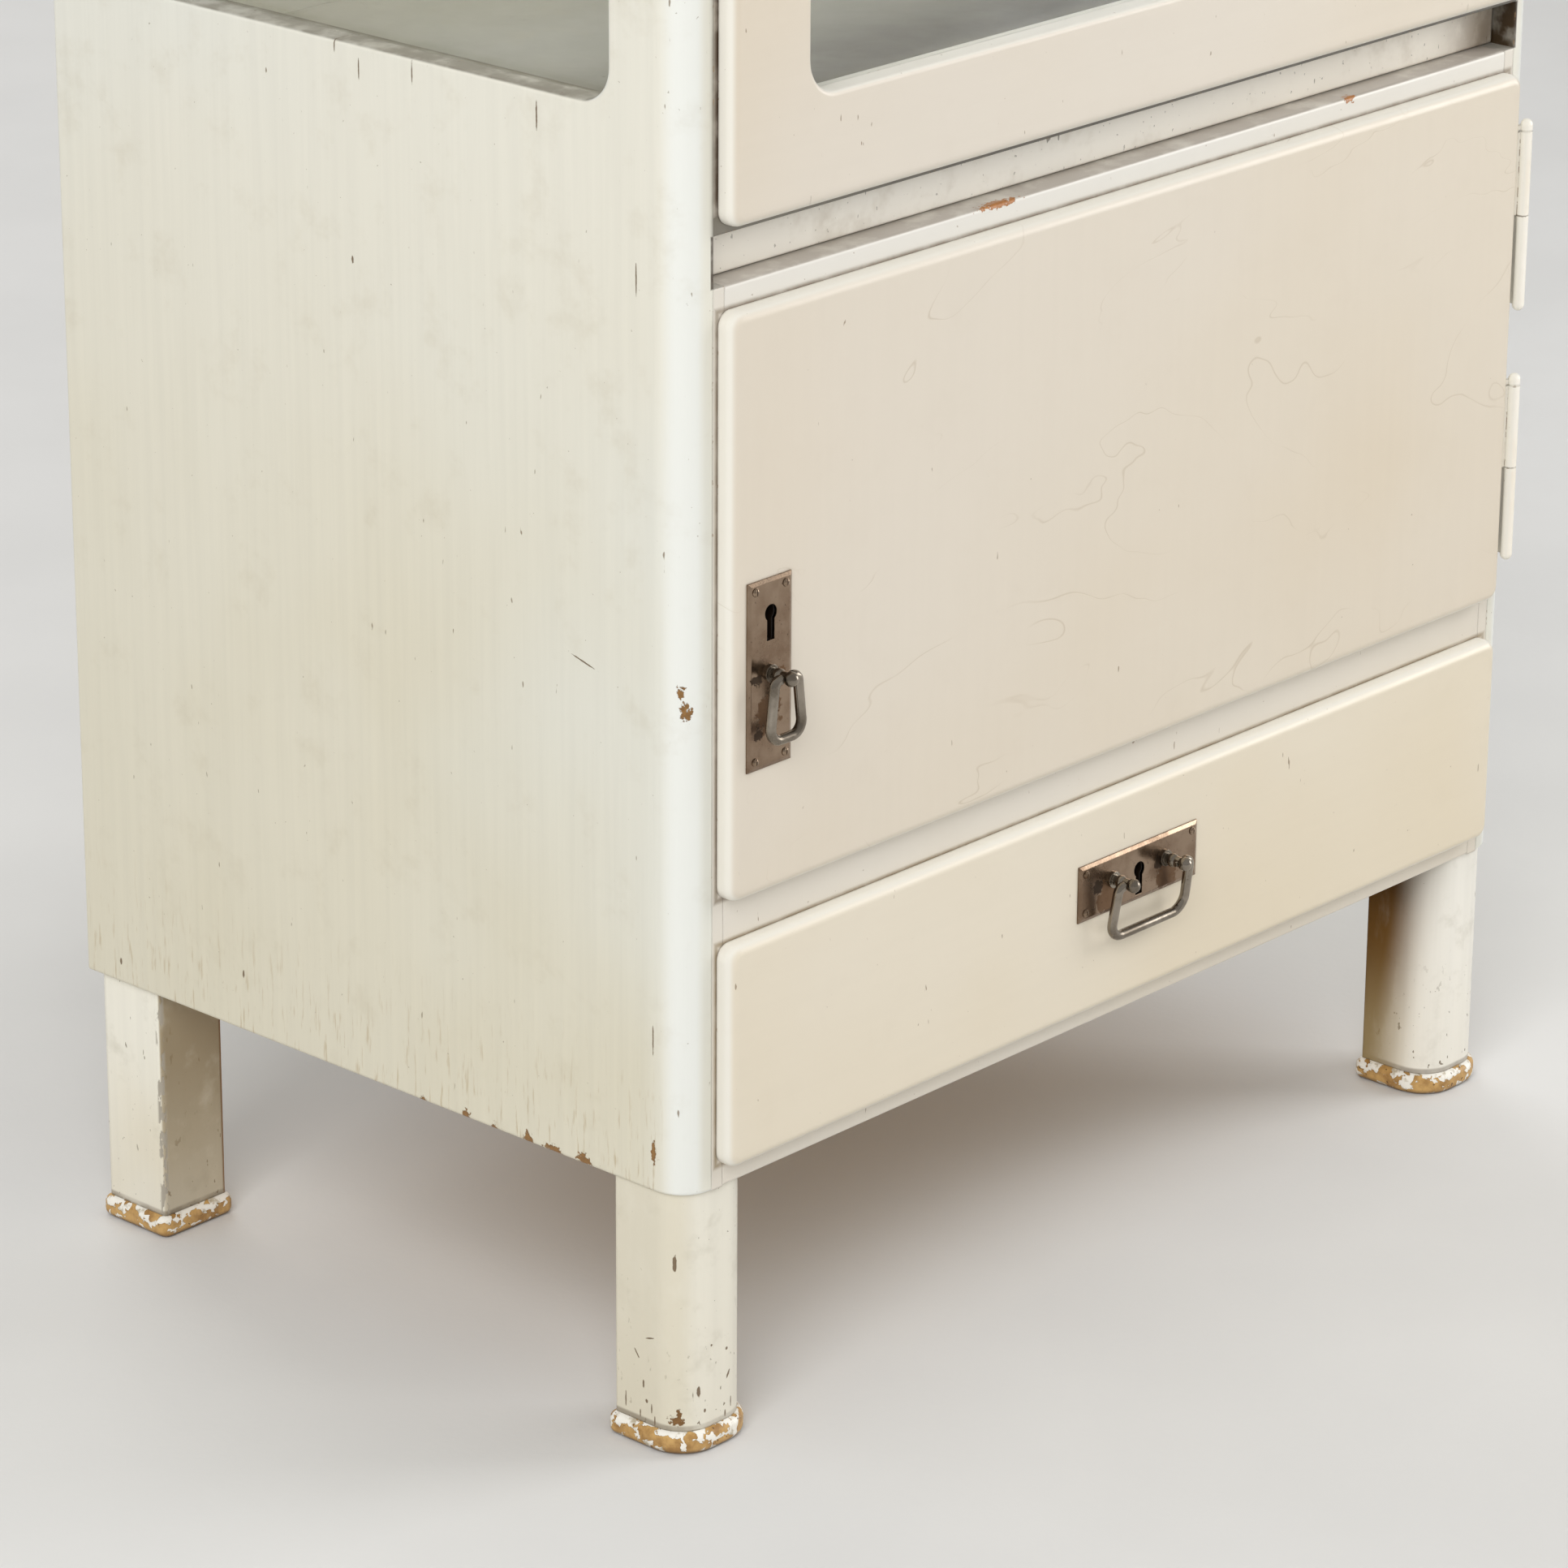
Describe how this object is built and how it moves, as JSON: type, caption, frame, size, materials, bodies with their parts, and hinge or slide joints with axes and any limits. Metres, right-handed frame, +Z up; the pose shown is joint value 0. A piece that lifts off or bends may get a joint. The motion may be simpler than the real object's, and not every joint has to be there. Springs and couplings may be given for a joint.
{
  "type": "medical cabinet",
  "caption": "Painted wooden medical cabinet on legs: glazed upper door and side windows, pull-out board, lipped cupboard door with a drop ring, and a bottom drawer with a bail pull.",
  "frame": {"origin": "floor level, at the centre of the whole width and depth", "axes": "+Z up, -Y to the front with the doors and the drawer, +X to the right seen from the front"},
  "size_m": [0.616, 0.419, 1.56],
  "materials": {
    "painted_side": "brushed off-white oil paint, satin",
    "painted_front": "brushed cream oil paint, satin",
    "bare_wood": "bare aged softwood",
    "foot_paint": "worn ochre paint",
    "glass": "clear",
    "nickel": "tarnished nickel plate",
    "hinge_paint": "cream paint, satin",
    "lock_iron": "dull iron"
  },
  "bodies": {
    "carcass": {"left_side_panel": "painted_side", "right_side_panel": "painted_side", "top_board": "painted_side", "back_panel": "painted_side", "front_left_leg": "painted_side", "front_right_leg": "painted_side", "rear_left_leg": "painted_side", "rear_right_leg": "painted_side", "side_glazing_beads": "painted_side", "upper_floor": "painted_side", "bottom_rail": "painted_front", "drawer_rail": "painted_front", "ledge_rail": "painted_front", "top_rail": "painted_front", "front_strips": "painted_front", "bottom_board": "bare_wood", "dust_board": "bare_wood", "ledge_board": "bare_wood", "drawer_guides": "bare_wood", "foot_pads": "foot_paint", "left_side_glass": "glass", "right_side_glass": "glass", "lower_glass_shelf": "glass", "middle_glass_shelf": "glass", "upper_glass_shelf": "glass", "shelf_pins": "nickel", "frame_hinges": "hinge_paint"},
    "upper_door": {"upper_door_left_stile": "painted_front", "upper_door_right_stile": "painted_front", "upper_door_top_rail": "painted_front", "upper_door_bottom_rail": "painted_front", "upper_door_glass": "glass", "upper_door_beads": "painted_front", "upper_door_hinges": "hinge_paint", "upper_lock_plate": "nickel", "upper_ring_post": "nickel", "upper_plate_screws": "nickel", "upper_lock_case": "lock_iron"},
    "lower_door": {"lower_door_panel": "painted_front", "lower_door_hinges": "hinge_paint", "lower_lock_plate": "nickel", "lower_ring_post": "nickel", "lower_plate_screws": "nickel", "lower_lock_case": "lock_iron"},
    "drawer": {"drawer_front": "painted_front", "drawer_sides": "bare_wood", "drawer_back": "bare_wood", "drawer_bottom": "bare_wood", "drawer_lock_plate": "nickel", "drawer_pull_posts": "nickel", "drawer_plate_screws": "nickel", "drawer_lock_case": "lock_iron"},
    "tray": {"tray_front_edge": "painted_front", "tray_board": "bare_wood"},
    "upper_ring": {"upper_ring": "nickel"},
    "lower_ring": {"lower_ring": "nickel"},
    "drawer_bail": {"drawer_bail": "nickel"},
    "upper_bolt": {"upper_bolt": "lock_iron"},
    "lower_bolt": {"lower_bolt": "lock_iron"},
    "drawer_bolt": {"drawer_bolt": "lock_iron"}
  },
  "joints": [
    {"name": "upper_door_hinge", "type": "hinge", "parent": "carcass", "child": "upper_door", "pos_m": [0.2836, -0.1923, 1.041], "axis": [0, 0, 1], "range_deg": [0, 175]},
    {"name": "lower_door_hinge", "type": "hinge", "parent": "carcass", "child": "lower_door", "pos_m": [0.2836, -0.1923, 0.399], "axis": [0, 0, 1], "range_deg": [0, 175]},
    {"name": "drawer_slide", "type": "slide", "parent": "carcass", "child": "drawer", "axis": [0, -1, 0], "range_m": [0, 0.28]},
    {"name": "tray_slide", "type": "slide", "parent": "carcass", "child": "tray", "axis": [0, -1, 0], "range_m": [0, 0.25]},
    {"name": "upper_ring_swing", "type": "hinge", "parent": "upper_door", "child": "upper_ring", "pos_m": [-0.2565, -0.2032, 1.01], "axis": [-1, 0, 0], "range_deg": [-10, 160]},
    {"name": "lower_ring_swing", "type": "hinge", "parent": "lower_door", "child": "lower_ring", "pos_m": [-0.2565, -0.2032, 0.368], "axis": [-1, 0, 0], "range_deg": [-10, 160]},
    {"name": "drawer_bail_swing", "type": "hinge", "parent": "drawer", "child": "drawer_bail", "pos_m": [0, -0.2032, 0.20295], "axis": [-1, 0, 0], "range_deg": [-7, 160]},
    {"name": "upper_bolt_slide", "type": "slide", "parent": "upper_door", "child": "upper_bolt", "axis": [-1, 0, 0], "range_m": [0, 0.008]},
    {"name": "lower_bolt_slide", "type": "slide", "parent": "lower_door", "child": "lower_bolt", "axis": [-1, 0, 0], "range_m": [0, 0.008]},
    {"name": "drawer_bolt_slide", "type": "slide", "parent": "drawer", "child": "drawer_bolt", "axis": [0, 0, 1], "range_m": [0, 0.008]}
  ]
}
